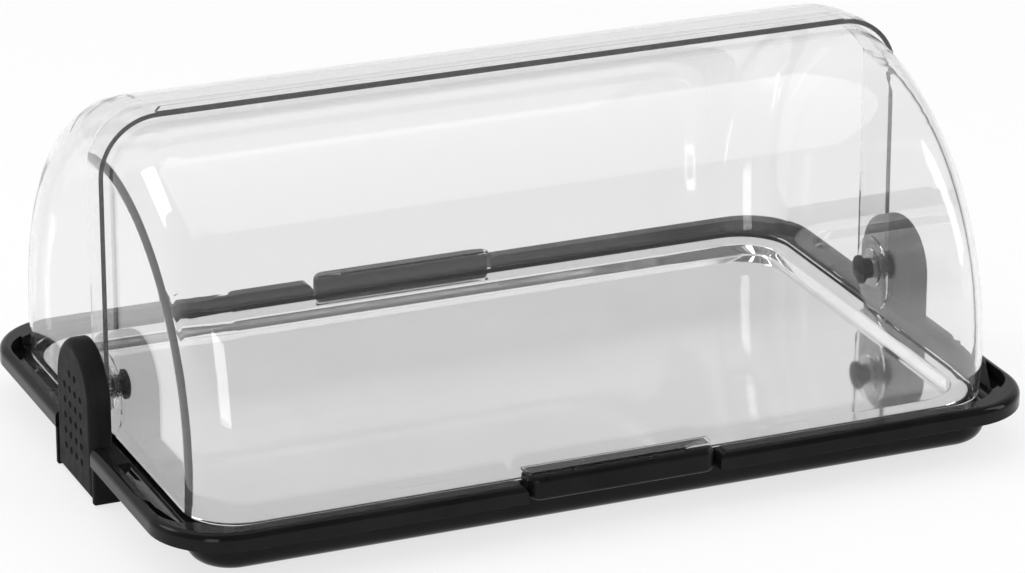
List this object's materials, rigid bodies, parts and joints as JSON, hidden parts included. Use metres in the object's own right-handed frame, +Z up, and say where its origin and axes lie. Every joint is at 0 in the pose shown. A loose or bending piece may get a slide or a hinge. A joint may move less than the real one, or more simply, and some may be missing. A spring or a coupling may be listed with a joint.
{
  "type": "countertop bread display bin",
  "caption": "Countertop display bin: black base with a shallow steel tray under a clear drum-shaped cover made of two hoods that turn about one side-to-side axis.",
  "frame": {"origin": "centre of the plan on the resting plane, under the feet", "axes": "+X along the length, to the right as seen from the front; the front faces -Y; +Z up"},
  "size_m": [0.5824, 0.382, 0.2445],
  "materials": {
    "base_black": "moulded, semi-gloss",
    "bracket_black": "moulded, fine satin",
    "grip_black": "soft satin",
    "pin_black": "moulded, semi-gloss",
    "clear": "clear, polished",
    "tray_steel": "bright polished stainless steel",
    "foot_rubber": "matte"
  },
  "bodies": {
    "base": {"base_frame": "base_black", "tray": "tray_steel", "left_bracket": "bracket_black", "left_pivot_pin": "pin_black", "left_head_washer": "clear", "left_mid_washer": "clear", "left_spacer": "pin_black", "right_bracket": "bracket_black", "right_pivot_pin": "pin_black", "right_head_washer": "clear", "right_mid_washer": "clear", "right_spacer": "pin_black", "foot_front_left": "foot_rubber", "foot_front_right": "foot_rubber", "foot_rear_left": "foot_rubber", "foot_rear_right": "foot_rubber"},
    "front_cover": {"front_hood": "clear", "front_grip": "grip_black"},
    "rear_cover": {"rear_hood": "clear", "rear_grip": "grip_black"}
  },
  "joints": [
    {"name": "front_cover_hinge", "type": "hinge", "parent": "base", "child": "front_cover", "pos_m": [0, 0, 0.063], "axis": [-1, 0, 0], "range_deg": [0, 62]},
    {"name": "rear_cover_hinge", "type": "hinge", "parent": "base", "child": "rear_cover", "pos_m": [0, 0, 0.063], "axis": [1, 0, 0], "range_deg": [0, 31]}
  ]
}
